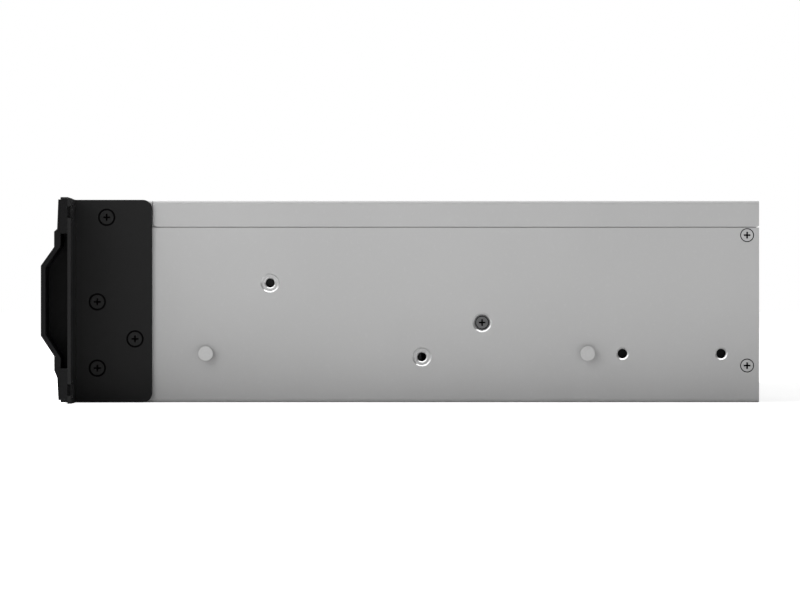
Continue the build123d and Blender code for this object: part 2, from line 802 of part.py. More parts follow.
def front_button(radius, z):
    """A round push button with a flange behind the grip's wall and a stem to its switch."""
    wall = grip_reach - grip_wall
    button = rod_y(strip_x, z, radius, ahead(grip_reach), ahead(wall - button_flange))
    button += rod_y(strip_x, z, radius + button_lip, ahead(wall), ahead(wall - button_flange))
    stem_end = board_back + board_thick + switch_height + power_travel + stem_gap
    button += rod_y(strip_x, z, radius / 2, ahead(wall), ahead(stem_end))
    return button


def control_board():
    """Small circuit board behind the buttons, with a switch for each."""
    inner = cap_inner + strip_wall
    outer = cap_inner + control_strip - strip_wall
    face = board_back + board_thick
    margin = control_margin - bezel_chamfer
    high = (mute_height - margin, power_height + margin)
    board = block((inner, outer), (ahead(face), ahead(board_back)), high)
    body = face + switch_height - switch_stem_radius
    for z, size in ((power_height, switch_size), (mute_height, small_switch_size)):
        wide, high = span(strip_x, size), span(z, size)
        board += block(wide, (ahead(body), ahead(face)), high)
        board += rod_y(strip_x, z, switch_stem_radius, ahead(face + switch_height), ahead(face))
    return board


def status_lights():
    """Clear light pipe with a stub for each lamp in the grip's face."""
    wall = grip_reach - grip_wall
    wide = span(strip_x, light_pipe_width)
    high = (lamp_heights[0] - light_pipe_thick, lamp_heights[-1] + light_pipe_thick)
    pipe = block(wide, (ahead(wall), ahead(wall - light_pipe_thick)), high)
    for z in lamp_heights:
        pipe += rod_y(strip_x, z, lamp_radius, ahead(grip_reach), ahead(wall))
    return pipe


def rail_studs():
    """Shouldered studs that the rack rails hook on to."""
    studs = []
    for y in (y_rack + ear_side_length + rail_stud_behind_ear, y_rear - rail_stud_ahead_of_rear):
        neck = rod_x(y, rail_stud_height, stud_neck_radius, half, half + stud_neck_length)
        start = half + stud_neck_length
        head = rod_x(y, rail_stud_height, stud_head_radius, start, start + stud_head_thick)
        studs += both_sides(neck + head)
    return studs


def steel_screws():
    """Countersunk screws of the side walls: two of the rear panel and one in a dimple, each side."""
    screws = []
    for z in rear_screw_heights:
        screws += both_sides(facing_side(small_screw(2 * sheet), y_rear - rear_screw_inset, z))
    inset, z = dimple_screw_place
    screws += both_sides(facing_side(small_screw(2 * sheet), y_rear - inset, z, half - dimple_depth))
    return screws


def fan_screws():
    """Low round-headed screws of the fans and the slot cover."""
    screws = []
    for x, z in [*fan_screw_places(), slot_screw_place()]:
        screw = rod_y(x, z, small_shank_radius, y_panel - 3 * sheet, y_panel)
        screws.append(screw + rod_y(x, z, 2 * small_shank_radius, y_panel, y_panel + cover_sheet))
    return screws


def bezel_width():
    return bay_pitch - bezel_gap


def tray():
    """One tray about its bay's centre line, with z from its row's lower line: bezel, floor and sides."""
    width, height = bezel_width(), row_pitch - bezel_gap
    z0 = bezel_gap / 2
    face = rectangle((-width / 2, width / 2), (z0, z0 + height))
    shape = along_y(face, ahead(bezel_reach), y_rack)
    front_edges = shape.faces().sort_by(Axis.Y)[0].edges()
    shape = chamfer(front_edges, bezel_chamfer)
    vent_half = vent_count * vent_pitch / 2 + bezel_rim
    low = z0 + vent_centre - vent_height / 2 - bezel_rim
    hollow = rectangle((-vent_half, vent_half), (low, z0 + height - bezel_rim))
    shape -= along_y(hollow, ahead(bezel_reach - bezel_wall), y_rack)
    half_width = vent_width / 2
    tip = vent_height / 2
    shoulder = tip - half_width / 2
    hexagon = Polygon((0, tip), (half_width, shoulder), (half_width, -shoulder), (0, -tip),
                      (-half_width, -shoulder), (-half_width, shoulder), align=None)
    vents = Sketch()
    for x in row_of(vent_count, vent_pitch):
        vents += Pos(x, z0 + vent_centre) * hexagon
    shape -= along_y(vents, ahead(bezel_reach), y_rack)
    lever_low = z0 + lever_centre - lever_height / 2 - lever_gap
    lever_high = z0 + lever_centre + lever_height / 2 + lever_gap
    turn = knuckle_radius + swing_room
    lever_z = (lever_low, lever_high)
    pocket = rectangle((pivot_x - turn, pivot_x + lever_length + lever_gap), lever_z)
    floor_depth = bezel_reach + lever_proud - lever_thick - lever_gap
    shape -= along_y(pocket, ahead(bezel_reach), ahead(floor_depth))
    swing = rectangle((pivot_x - turn, pivot_x + turn), lever_z)
    y_pivot = ahead(bezel_reach + lever_proud - pivot_depth)
    shape -= along_y(swing, ahead(bezel_reach), y_pivot + knuckle_radius + lever_gap)
    reach = lever_height / 2 + lever_gap + trunnion_length
    middle = z0 + lever_centre
    shape -= rod_z(pivot_x, y_pivot, trunnion_radius + trunnion_play, middle - reach, middle + reach)
    for z in tray_lamp_heights:
        lamp = Pos(tray_lamp_x, z0 + z) * Rectangle(tray_lamp_width, tray_lamp_height)
        shape -= along_y(lamp, ahead(bezel_reach), ahead(bezel_reach - tray_lamp_depth))
    side = tray_width / 2
    low = tray_lift
    section = rectangle((-side, side), (low, low + tray_floor))
    section += rectangle((-side, -side + tray_side), (low, low + tray_side_height))
    section += rectangle((side - tray_side, side), (low, low + tray_side_height))
    body = along_y(section, y_rack, y_drive_end)
    body += block((-side, side), (y_rack, y_drive - lever_gap), (low, low + tray_front_rise))
    window_depth = (drive_length - 3 * floor_bar) / 2
    for row in range(2):
        start = y_drive + floor_bar + row * (window_depth + floor_bar)
        reach = side - floor_bar
        body -= block((-reach, reach), (start, start + window_depth), (low, low + tray_floor))
    for i in range(3):
        y = y_drive + (i + 0.5) * drive_length / 3
        slot_low = low + side_slot_rise
        cut = rectangle(span(y, side_slot_length), (slot_low, slot_low + side_slot_height))
        body -= along_x(cut, -side, side)
    return shape + body


def lever():
    """A tray's swing-out lever, closed: pivot barrel with trunnions, bar and press tab."""
    front = ahead(bezel_reach + lever_proud)
    back = front + lever_thick
    y_pivot = front + pivot_depth
    end = pivot_x + lever_length
    bar = Pos((pivot_x + end) / 2, (front + back) / 2) * Rectangle(lever_length, lever_thick)
    bar += Pos(pivot_x, y_pivot) * Circle(knuckle_radius)
    grip_start = end - lever_tab
    for i in range(lever_grooves):
        x = grip_start + (i + 1) * lever_tab / (lever_grooves + 1)
        notch = Polyline((x - groove, front), (x, front + groove), (x + groove, front), close=True)
        bar -= make_face(notch)
    bar -= Pos((pivot_x + grip_start) / 2, back) * Rectangle(lever_hollow_length, 2 * lever_hollow_depth)
    z0 = bezel_gap / 2
    low, high = span(z0 + lever_centre, lever_height)
    shape = along_z(bar, low, high)
    inside = (low + lever_rim, high - lever_rim)
    panel = rectangle((pivot_x + lever_border, grip_start - lever_border), inside)
    shape -= along_y(panel, front, front + lever_panel_depth)
    slit = rectangle((grip_start - slit_width, grip_start), inside)
    shape -= along_y(slit, front, back)
    pin = lever_height / 2 + trunnion_length
    shape += rod_z(pivot_x, y_pivot, trunnion_radius, z0 + lever_centre - pin, z0 + lever_centre + pin)
    return shape


def drive():
    """A 3.5-inch drive on its tray's floor, with a raised lid and the cavity for its connector."""
    low = tray_lift + tray_floor
    side = drive_width / 2
    high = low + drive_height
    body = block((-side, side), (y_drive, y_drive_end), (low, high - drive_lid))
    lid = Rectangle(drive_width - 2 * drive_lid_margin, drive_length - 2 * drive_lid_margin)
    lid = chamfer(lid.vertices(), drive_lid_chamfer)
    body += along_z(Pos(0, (y_drive + y_drive_end) / 2) * lid, high - drive_lid, high)
    middle = low + plug_rise
    cavity = window(-plug_offset, plug_width, *span(middle, plug_height), plug_room)
    body -= along_y(cavity, y_drive_end - plug_cavity, y_drive_end)
    return body


def bay_places():
    """(number, x, z) of each bay, from the lower left."""
    places = []
    for row in range(bays_high):
        for column in range(bays_across):
            x = (column - (bays_across - 1) / 2) * bay_pitch
            places.append((row * bays_across + column + 1, x, row_margin + row * row_pitch))
    return places


def backplane():
    """Upright circuit board behind the cage, with one connector per drive and air holes between."""
    edge = cage_width / 2 - backplane_margin
    outline = rectangle((-edge, edge), (sheet, z_ceiling - cage_fit - cover_sheet), plain_corner)
    reach = bay_width / 2 - air_hole_margin
    for _, x, z in bay_places():
        low = z + tray_lift + tray_floor
        high = (low + air_hole_low, low + air_hole_high)
        outline -= rectangle((x - reach, x + reach), high, air_hole_corner)
    board = along_y(outline, y_backplane, y_behind_backplane)
    for _, x, z in bay_places():
        centre = z + tray_lift + tray_floor + plug_rise
        plug = rectangle(span(x - plug_offset, plug_width), span(centre, plug_height))
        board += along_y(plug, y_drive_end + plug_gap, y_backplane)
    return board


def standoffs():
    """Posts under the main board."""
    low = board_front + post_inset
    high = board_rear - post_rear_inset
    return [
        (board_x + post_inset, low),
        (board_inner, low),
        (board_right - post_inset, low),
        (slot_x + slot_cover_width, high),
        (board_inner - post_inset, high),
        (board_right - post_inset, board_fan_edge - post_inset),
    ]


def standing(x, y, length, width, height):
    """A block on the main board, centred on (x, y)."""
    box = Box(length, width, height)
    return Pos(x, y, z_board_top + height / 2) * box


def main_board():
    """L-shaped main board with its soldered parts, standing on the pan's posts."""
    outline = rectangle((board_x, board_inner), (board_front, board_rear))
    outline += rectangle((board_x, board_right), (board_front, board_fan_edge))
    for x, y in standoffs():
        outline -= Pos(x, y) * Circle(post_hole)
    board = along_z(outline, z_board, z_board_top)
    for y in memory_rows():
        board += standing(memory_x(), y, memory_socket_length, memory_socket_width, memory_socket_height)
    x, y = cooler_place()
    board += standing(x, y, processor_size, processor_size, processor_height)
    right_of_cooler = x + cooler_size / 2 + capacitor_height
    for row in row_of(capacitor_count, capacitor_pitch, y):
        board += rod_z(right_of_cooler, row, capacitor_radius, z_board_top, z_board_top + capacitor_height)
    board += standing(x - cooler_size / 2 - chipset_size, y, chipset_size, chipset_size, chipset_height)
    row = board_rear - card_slot_inset - card_slot_length / 2
    board += standing(slot_x, row, card_slot_width, card_slot_length, card_slot_height)
    row = board_front + power_plug_from_front + power_plug_length / 2
    column = board_right - power_plug_inset - power_plug_width / 2
    board += standing(column, row, power_plug_width, power_plug_length, power_plug_height)
    x = reset_centre - wall_x
    back = y_panel_in - reset_stem - reset_travel - stem_gap
    switch = reset_height + reset_switch_size / 2 - z_board_top
    board += standing(x, back - reset_switch_size / 2, reset_switch_size, reset_switch_size, switch)
    return board


def memory_x():
    return board_right - memory_from_right


def memory_rows():
    """y of the two memory sockets."""
    return [board_front + memory_from_front + i * memory_pitch for i in range(2)]


def memory_modules():
    """Two upright memory modules in their sockets."""
    low = z_board_top + memory_socket_height
    chip_z = (low + chip_rise, low + chip_rise + chip_height)
    modules = []
    for y in memory_rows():
        x = memory_x()
        card = span(y, module_thick)
        module = block(span(x, module_length), card, (low, low + module_height))
        for middle in row_of(chip_count, chip_pitch, x):
            wide = span(middle, chip_width)
            module += block(wide, (card[0] - chip_thick, card[1] + chip_thick), chip_z)
        modules.append(module)
    return modules


def cooler_place():
    return board_x + cooler_from_left, board_front + cooler_from_front


def processor_cooler():
    """Finned aluminium cooler on the processor."""
    x, y = cooler_place()
    low = z_board_top + processor_height
    reach = cooler_size / 2
    section = rectangle((x - reach, x + reach), (low, low + cooler_base))
    fin_pitch = (cooler_size - fin_thick) / (cooler_fins - 1)
    for i in range(cooler_fins):
        left = x - reach + i * fin_pitch
        section += rectangle((left, left + fin_thick), (low, low + cooler_height))
    return along_y(section, y - reach, y + reach)


def socket_shell(x, width, height, depth):
    """A socket's outer box on the board's rear edge, flush with the rear panel."""
    return block(span(x, width), (y_panel - depth, y_panel), (z_board_top, z_board_top + height))


def network_socket(x):
    middle = z_board_top + lan_height / 2 - lan_hole_drop
    reach = lan_hole_height / 2
    hole = rectangle(span(x, lan_hole_width), (middle - reach, middle + reach))
    latch = rectangle(span(x, lan_latch_width), (middle, middle + reach + lan_latch_rise))
    shell = socket_shell(x, lan_width, lan_height, lan_depth)
    return shell - along_y(hole + latch, y_panel - lan_hole_depth, y_panel)


def tongue_socket(shell, x, z, hole, tongue_rise, depth):
    """Cuts a (width, height) hole centred at (x, z) and leaves a tongue inside it."""
    width, height = hole
    shell -= block(span(x, width), (y_panel - depth, y_panel), span(z, height))
    reach = width / 2 - tongue_side
    low = z - height / 2 + tongue_rise
    long = (y_panel - depth, y_panel - tongue_setback)
    return shell + block((x - reach, x + reach), long, (low, low + tongue_thick))


def rear_sockets():
    """Network, USB and external-drive sockets on the main board's rear edge."""
    sockets = [network_socket(x) for x in lan_places()]
    x = -wall_x + usb_centre
    shell = socket_shell(x, usb_width, usb_height, usb_depth)
    for share in usb_shares:
        middle = z_board_top + usb_height * share
        shell = tongue_socket(shell, x, middle, usb_hole, usb_tongue_rise, usb_hole_depth)
    sockets.append(shell)
    x = -wall_x + esata_centre
    shell = socket_shell(x, esata_width, esata_height, esata_depth)
    middle = z_board_top + esata_height / 2
    sockets.append(tongue_socket(shell, x, middle, esata_hole, esata_tongue_rise, esata_hole_depth))
    return sockets


def reset_button():
    """Small recessed push button in the rear panel."""
    x = -wall_x + reset_centre
    start = y_panel_in - reset_stem
    button = rod_y(x, reset_height, reset_radius, start, y_panel)
    return button + rod_y(x, reset_height, reset_radius + reset_flange, start, y_panel_in - trunnion_play)


def slot_cover():
    """Blank behind the expansion slot's window."""
    reach = slot_cover_width / 2
    high = (z_board_top + slip, z_ceiling - cover_sheet)
    plate = rectangle((slot_x - reach, slot_x + reach), high, plain_corner)
    x, z = slot_screw_place()
    plate -= Pos(x, z) * Circle(small_shank_radius + screw_fit)
    return along_y(plate, y_panel_in - slot_cover_thick, y_panel_in)


def fan_frame(size, depth, bore, hub):
    """Square fan frame about Z, its exhaust face at z=0, with struts, motor base and bearing tube."""
    inset = size / 2 - fan_hole_inset * size / fan_size
    hole = Circle(fan_hole_radius * size / fan_size)
    shape = RectangleRounded(size, size, fan_corner) - Circle(bore)
    shape -= [Pos(x, y) * hole for x in (-inset, inset) for y in (-inset, inset)]
    frame = extrude(shape, depth)
    waist = depth * fan_waist_share
    scallop = size * fan_scallop_share
    for angle in range(0, 360, 90):
        notch = Pos(size / 2, 0, depth / 2) * Box(size / 2 - bore, scallop, waist)
        frame -= Rot(0, 0, angle) * notch
    reach = 2 * bore + fan_strut
    struts = Rectangle(reach, fan_strut) + Rectangle(fan_strut, reach)
    base = (struts & Circle(bore + shaft_play)) + Circle(hub)
    frame += extrude(base, base_thick)
    tube = Circle(tube_radius) - Circle(shaft_radius + shaft_play)
    frame += extrude(Plane.XY.offset(base_thick) * tube, depth * fan_tube_share)
    return frame - extrude(Circle(shaft_radius + shaft_play), base_thick)


def blade_section(radius, middle, angle, height, camber):
    """A cambered section across a blade at one radius, drawn about z = middle."""
    chord = height / math.sin(math.radians(angle))
    reach = Vector(math.cos(math.radians(angle)), math.sin(math.radians(angle))) * (chord / 2)
    across = Vector(-reach.Y, reach.X).normalized()
    outer = ThreePointArc(-reach, across * camber, reach)
    inner = ThreePointArc(reach, across * (camber - blade_thick), -reach)
    plane = Plane(origin=(radius, 0, middle), x_dir=(0, 1, 0), z_dir=(1, 0, 0))
    return plane * make_face([outer, inner])


def fan_rotor(depth, bore, hub, blades):
    """Cup-shaped hub with a shaft and twisted, cambered blades, about the Z axis."""
    low, high = base_thick + rotor_gap, depth - rotor_gap
    middle = (low + high) / 2
    cup = Pos(0, 0, middle) * Cylinder(hub, high - low)
    cup = fillet(cup.edges().sort_by(Axis.Z)[-1], cup_round)
    cup -= Pos(0, 0, middle - cup_wall / 2) * Cylinder(hub - cup_wall, high - low - cup_wall)
    shaft = high - cup_wall / 2 - rotor_gap
    cup += Pos(0, 0, rotor_gap + shaft / 2) * Cylinder(shaft_radius, shaft)
    tip = bore - tip_gap
    height = (high - low) * blade_share
    root = blade_section(hub - blade_root_sink, middle, blade_steep, height, blade_root_camber)
    end = blade_section(tip, middle, blade_flat, height, blade_tip_camber)
    blade = loft([root, end], ruled=True) & Pos(0, 0, middle) * Cylinder(tip, depth)
    return cup + [Rot(0, 0, i * 360 / blades) * blade for i in range(blades)]


def rear_facing(shape, x, z):
    """Stands a fan, made about Z, against the rear panel with its exhaust face to the rear."""
    return Pos(x, y_panel_in, z) * (Rot(90, 0, 0) * shape)


def supply_fan_x():
    return supply_x + supply_fan_centre


def supply_z():
    return sheet + supply_height / 2


def inlet_x():
    return supply_x + inlet_centre


def power_supply():
    """Closed steel case with pockets for its fan and mains inlet, and air slots in its front."""
    wide, high = (supply_x, supply_x + supply_width), (sheet, sheet + supply_height)
    case = block(wide, (supply_front, y_panel_in), high)
    z = supply_z()
    reach = supply_fan_size / 2 + slip
    x = supply_fan_x()
    rear = y_panel_in - supply_wall
    case -= block((x - reach, x + reach), (rear - supply_fan_depth - slip, rear), (z - reach, z + reach))
    grille = ring_grille(supply_bore, supply_grille_hub, grille_rings, supply_grille_bar)
    case -= along_y(Pos(x, z) * grille, rear, y_panel_in)
    x = inlet_x()
    wide, high = span(x, inlet_width), span(z, inlet_height)
    case -= block(wide, (y_panel_in - inlet_depth, y_panel_in), high)
    reach = supply_height / 2 - supply_vent_margin
    middle = supply_x + supply_width / 2
    for x in row_of(supply_vents, supply_vent_pitch, middle):
        slot = rectangle(span(x, supply_vent_width), (z - reach, z + reach))
        case -= along_y(slot, supply_front, supply_front + supply_vent_depth)
    return case


def mains_inlet():
    """Three-pin mains inlet in the power supply's rear."""
    x, z = inlet_x(), supply_z()
    body = rectangle(span(x, inlet_width), span(z, inlet_height))
    body = along_y(body, y_panel_in - inlet_depth, y_panel_in)
    wide, high = inlet_width / 2 - inlet_wall_x, inlet_height / 2 - inlet_wall_z
    mouth = rectangle((x - wide, x + wide), (z - high, z + high))
    mouth = chamfer(mouth.vertices().group_by(Axis.Y)[-1], inlet_chamfer)
    bottom = y_panel_in - inlet_mouth_depth
    body -= along_y(mouth, bottom, y_panel_in)
    for across, up in ((0, pin_rise), (-pin_pitch, -pin_drop), (pin_pitch, -pin_drop)):
        pin = Pos(x + across, z + up) * Rectangle(pin_width, pin_height)
        body += along_y(pin, bottom, bottom + pin_length)
    return body


def save(name, shapes):
    """Writes one node: a solid or a group of separate solids."""
    solids = []
    for shape in shapes if isinstance(shapes, list) else [shapes]:
        solids += shape.solids()
    export_step(solids[0] if len(solids) == 1 else Compound(solids), f"parts/{name}.step")


def build():
    os.makedirs("parts", exist_ok=True)
    save("chassis_pan", chassis_pan())
    save("front_top_plate", front_top_plate())
    save("top_cover", top_cover())
    save("rear_panel", rear_panel())
    save("drive_cage", drive_cage())
    bracket = ear_bracket()
    save("right_ear", bracket)
    save("left_ear", mirror(bracket, Plane.YZ))
    save("right_grip", grip(True))
    save("left_grip", mirror(grip(False), Plane.YZ))
    save("power_button", front_button(power_radius, power_height))
    save("mute_button", front_button(mute_radius, mute_height))
    save("status_lights", status_lights())
    save("control_board", control_board())
    ear_screws = []
    for screw in ear_screws_at(ear_screw):
        ear_screws += both_sides(screw)
    save("ear_screws", ear_screws)
    save("steel_screws", steel_screws())
    save("fan_screws", fan_screws())
    screw = flat_screw(lip_screw_head, small_head_depth, small_shank_radius, 3 * sheet)
    save("cover_screws", [facing_rear(screw, x, tab_screw_height, y_rear) for x in cover_tabs()])
    save("rail_studs", rail_studs())
    one_tray, one_lever, one_drive = tray(), lever(), drive()
    for number, x, z in bay_places():
        place = Pos(x, 0, z)
        save(f"tray_{number}", place * one_tray)
        save(f"tray_lever_{number}", place * one_lever)
        save(f"drive_{number}", place * one_drive)
    save("backplane", backplane())
    save("main_board", main_board())
    save("memory_modules", memory_modules())
    save("processor_cooler", processor_cooler())
    save("rear_sockets", rear_sockets())
    save("reset_button", reset_button())
    save("slot_cover", slot_cover())
    frame = fan_frame(fan_size, fan_depth, fan_bore, fan_hub_radius)
    rotor = fan_rotor(fan_depth, fan_bore, fan_hub_radius, fan_blades)
    save("fan_frames", [rear_facing(frame, x, fan_centre_z) for x in fan_places()])
    for name, x in zip(("right_fan_rotor", "left_fan_rotor"), fan_places()):
        save(name, rear_facing(rotor, x, fan_centre_z))
    save("power_supply", power_supply())
    save("mains_inlet", mains_inlet())
    supply_place = Pos(0, -supply_wall, 0)
    small_frame = fan_frame(supply_fan_size, supply_fan_depth, supply_bore, supply_hub)
    small_rotor = fan_rotor(supply_fan_depth, supply_bore, supply_hub, fan_blades)
    save("supply_fan_frame", supply_place * rear_facing(small_frame, supply_fan_x(), supply_z()))
    save("supply_fan_rotor", supply_place * rear_facing(small_rotor, supply_fan_x(), supply_z()))


build()
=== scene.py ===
import json
import math

import bmesh
import bpy
from mathutils import Matrix, Vector


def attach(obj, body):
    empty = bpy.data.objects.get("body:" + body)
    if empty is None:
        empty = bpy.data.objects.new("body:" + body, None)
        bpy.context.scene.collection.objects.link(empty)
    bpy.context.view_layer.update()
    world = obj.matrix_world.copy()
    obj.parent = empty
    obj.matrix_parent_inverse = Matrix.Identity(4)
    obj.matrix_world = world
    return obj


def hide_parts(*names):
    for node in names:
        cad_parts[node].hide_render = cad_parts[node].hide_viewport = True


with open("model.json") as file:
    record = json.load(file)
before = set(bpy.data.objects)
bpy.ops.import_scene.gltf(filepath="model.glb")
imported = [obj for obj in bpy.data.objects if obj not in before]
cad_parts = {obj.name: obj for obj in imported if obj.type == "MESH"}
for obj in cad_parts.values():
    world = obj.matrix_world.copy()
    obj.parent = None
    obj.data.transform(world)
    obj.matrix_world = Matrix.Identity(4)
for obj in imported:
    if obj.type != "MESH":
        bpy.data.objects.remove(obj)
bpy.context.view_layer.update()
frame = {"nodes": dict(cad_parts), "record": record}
nodes = frame["nodes"]
bodies = frame["record"]["behaviour"]["bodies"]
bodyOf = {node: body for body, members in bodies.items() for node in members}
slotOf = {entry["node"]: entry["material_slot"] for entry in frame["record"]["subparts"]}
mm = 0.001
print("frame loaded:", len(nodes), "nodes")


class Wire:
    # one output of a shader node; sums and products of wires add Math nodes
    def __init__(self, paint, socket):
        self.paint = paint
        self.socket = socket

    def math(self, operation, a, b, clamp=False):
        return self.paint.node("ShaderNodeMath", {"operation": operation, "use_clamp": clamp}, {0: a, 1: b})

    def __add__(self, other):
        return self.math("ADD", self, other)

    def __radd__(self, other):
        return self.math("ADD", other, self)

    def __sub__(self, other):
        return self.math("SUBTRACT", self, other)

    def __rsub__(self, other):
        return self.math("SUBTRACT", other, self)

    def __mul__(self, other):
        return self.math("MULTIPLY", self, other)

    def __rmul__(self, other):
        return self.math("MULTIPLY", other, self)

    def above(self, edge, softness):
        # 0 below the edge, 1 above it, with a soft step between
        return self.math("DIVIDE", self - edge, softness, clamp=True)


class Paint:
    # a material being mixed
    def __init__(self, name):
        self.material = bpy.data.materials.new(name)
        self.material.use_nodes = True
        self.tree = self.material.node_tree
        self.tree.nodes.clear()

    def node(self, kind, settings=None, sockets=None, output=0):
        made = self.tree.nodes.new(kind)
        for key, value in (settings or {}).items():
            setattr(made, key, value)
        for key, value in (sockets or {}).items():
            self.feed(made.inputs[key], value)
        return Wire(self, made.outputs[output]) if len(made.outputs) else None

    def feed(self, socket, value):
        if isinstance(value, Wire):
            self.tree.links.new(value.socket, socket)
        elif socket.type == "RGBA" and len(value) == 3:
            socket.default_value = (*value, 1.0)
        else:
            socket.default_value = value

    def where(self, stretch=(1, 1, 1)):
        # the piece's own place, in metres, stretched along some axes
        place = self.node("ShaderNodeTexCoord", output="Object")
        return self.node("ShaderNodeMapping", {}, {"Vector": place, "Scale": stretch})

    def noise(self, scale, detail=2.0, stretch=(1, 1, 1), roughness=0.5):
        sockets = {"Vector": self.where(stretch), "Scale": scale, "Detail": detail, "Roughness": roughness}
        return self.node("ShaderNodeTexNoise", {}, sockets)

    def cells(self, scale, settings=None, output=0):
        sockets = {"Vector": self.where(), "Scale": scale}
        return self.node("ShaderNodeTexVoronoi", settings, sockets, output)

    def blend(self, mask, a, b):
        # colour a where the mask is 0, colour b where it is 1
        return self.node("ShaderNodeMix", {"data_type": "RGBA"}, {0: mask, 6: a, 7: b}, output=2)

    def bump(self, height, strength, distance, under=None):
        sockets = {"Height": height, "Strength": strength, "Distance": distance}
        if under is not None:
            sockets["Normal"] = under
        return self.node("ShaderNodeBump", {}, sockets)

    def softEdge(self, radius):
        # rounds the look of sharp edges
        return self.node("ShaderNodeBevel", {"samples": 4}, {"Radius": radius})

    def shade(self, **sockets):
        # closes the material with one surface shader
        surface = self.node("ShaderNodeBsdfPrincipled", {}, {k.replace("_", " "): v for k, v in sockets.items()})
        self.node("ShaderNodeOutputMaterial", {}, {"Surface": surface})
        return self.material


def tinted(colour, factor):
    return tuple(channel * factor for channel in colour)


sheetPaint = {
    "grey": (0.47, 0.47, 0.47), "black": (0.0158, 0.0158, 0.016),
    "peelScale": 1500.0, "peelDetail": 3.0, "peelDepth": 0.03 * mm, "peelGloss": 0.08,
    "cloudScale": 18.0, "cloudDark": 0.965, "cloudLight": 1.035,
    "fleckScale": 600.0, "fleckEdge": 0.62, "fleckSoftness": 0.1, "fleckShare": 0.12, "fleckLight": 1.18,
    "edge": 0.25 * mm,
}


def paintedSheet(name, colour, roughness, peelStrength, shine):
    # powder coat: a fine orange peel over a barely uneven tone
    look = sheetPaint
    paint = Paint(name)
    peel = paint.noise(look["peelScale"], detail=look["peelDetail"])
    cloud = paint.noise(look["cloudScale"])
    fleck = paint.noise(look["fleckScale"], detail=1.0).above(look["fleckEdge"], look["fleckSoftness"])
    tone = paint.blend(cloud, tinted(colour, look["cloudDark"]), tinted(colour, look["cloudLight"]))
    tone = paint.blend(fleck * look["fleckShare"], tone, tinted(colour, look["fleckLight"]))
    normal = paint.bump(peel, peelStrength, look["peelDepth"], paint.softEdge(look["edge"]))
    return paint.shade(Base_Color=tone, Roughness=roughness + look["peelGloss"] * peel, Normal=normal,
                       Specular_IOR_Level=shine)


plasticGrain = {
    "scale": 1900.0, "detail": 4.0, "roughness": 0.6, "depth": 0.05 * mm, "gloss": 0.05, "dark": 0.8, "light": 1.25,
    "flowScale": 25.0, "flowGloss": 0.1, "edge": 0.3 * mm,
}


def mouldedPlastic(name, colour, roughness, grainStrength, coat=0.0, shine=0.5):
    # injection-moulded plastic with a spark-eroded grain
    look = plasticGrain
    paint = Paint(name)
    grain = paint.noise(look["scale"], detail=look["detail"], roughness=look["roughness"])
    flow = paint.noise(look["flowScale"], detail=1.0)
    tone = paint.blend(grain, tinted(colour, look["dark"]), tinted(colour, look["light"]))
    normal = paint.bump(grain, grainStrength, look["depth"], paint.softEdge(look["edge"]))
    return paint.shade(Base_Color=tone, Roughness=roughness + look["flowGloss"] * flow + look["gloss"] * grain,
                       Normal=normal, Coat_Weight=coat, Specular_IOR_Level=shine)


metalGrain = {
    "lineScale": 900.0, "lineDetail": 3.0, "lineShare": 0.5, "lineDepth": 0.02 * mm, "lineGloss": 0.15,
    "patchScale": 60.0, "patchShare": 0.3, "dark": 0.82, "light": 1.12,
    "spangleScale": 240.0, "spangleDark": 0.7, "edge": 0.2 * mm,
}


def brushedMetal(name, colour, roughness, stretch=(1, 1, 1), strength=0.25, spots=0.0):
    # rolled or brushed metal, its lines along the axis with the smallest stretch
    look = metalGrain
    paint = Paint(name)
    lines = paint.noise(look["lineScale"], detail=look["lineDetail"], stretch=stretch)
    patch = paint.noise(look["patchScale"])
    tone = paint.blend(lines * look["lineShare"] + patch * look["patchShare"],
                       tinted(colour, look["dark"]), tinted(colour, look["light"]))
    if spots:
        spangle = paint.cells(look["spangleScale"], output="Color")
        grey = paint.node("ShaderNodeRGBToBW", {}, {"Color": spangle})
        tone = paint.blend(grey * spots, tone, tinted(colour, look["spangleDark"]))
    normal = paint.bump(lines, strength, look["lineDepth"], paint.softEdge(look["edge"]))
    return paint.shade(Base_Color=tone, Metallic=1.0, Roughness=roughness + look["lineGloss"] * lines,
                       Normal=normal)


boardPattern = {
    "mask": (0.008, 0.05, 0.024), "copper": (0.7, 0.5, 0.2), "roughness": 0.34,
    "trackScale": 260.0, "trackEdge": 0.05, "trackSoftness": 0.03, "trackShare": 0.7, "trackLight": 1.9,
    "trackRelief": 0.2, "trackDepth": 0.05 * mm, "trackGloss": 0.1,
    "holeScale": 420.0, "holeEdge": 0.16, "holeSoftness": 0.04,
    "areaScale": 90.0, "areaEdge": 0.55, "areaSoftness": 0.05,
}


def circuitBoard(name):
    # solder mask over fine tracks, with plated through-holes in some areas
    look = boardPattern
    paint = Paint(name)
    cell = paint.cells(look["trackScale"], {"feature": "DISTANCE_TO_EDGE"})
    track = 1.0 - cell.above(look["trackEdge"], look["trackSoftness"])
    hole = 1.0 - paint.cells(look["holeScale"]).above(look["holeEdge"], look["holeSoftness"])
    area = paint.noise(look["areaScale"], detail=1.0).above(look["areaEdge"], look["areaSoftness"])
    tone = paint.blend(track * look["trackShare"], look["mask"], tinted(look["mask"], look["trackLight"]))
    tone = paint.blend(hole * area, tone, look["copper"])
    normal = paint.bump(track, look["trackRelief"], look["trackDepth"])
    return paint.shade(Base_Color=tone, Roughness=look["roughness"] + look["trackGloss"] * track, Normal=normal)


lampGlow = {"colour": (0.55, 0.85, 0.6), "strength": 0.35, "coreScale": 400.0, "dim": 0.8, "roughness": 0.25}


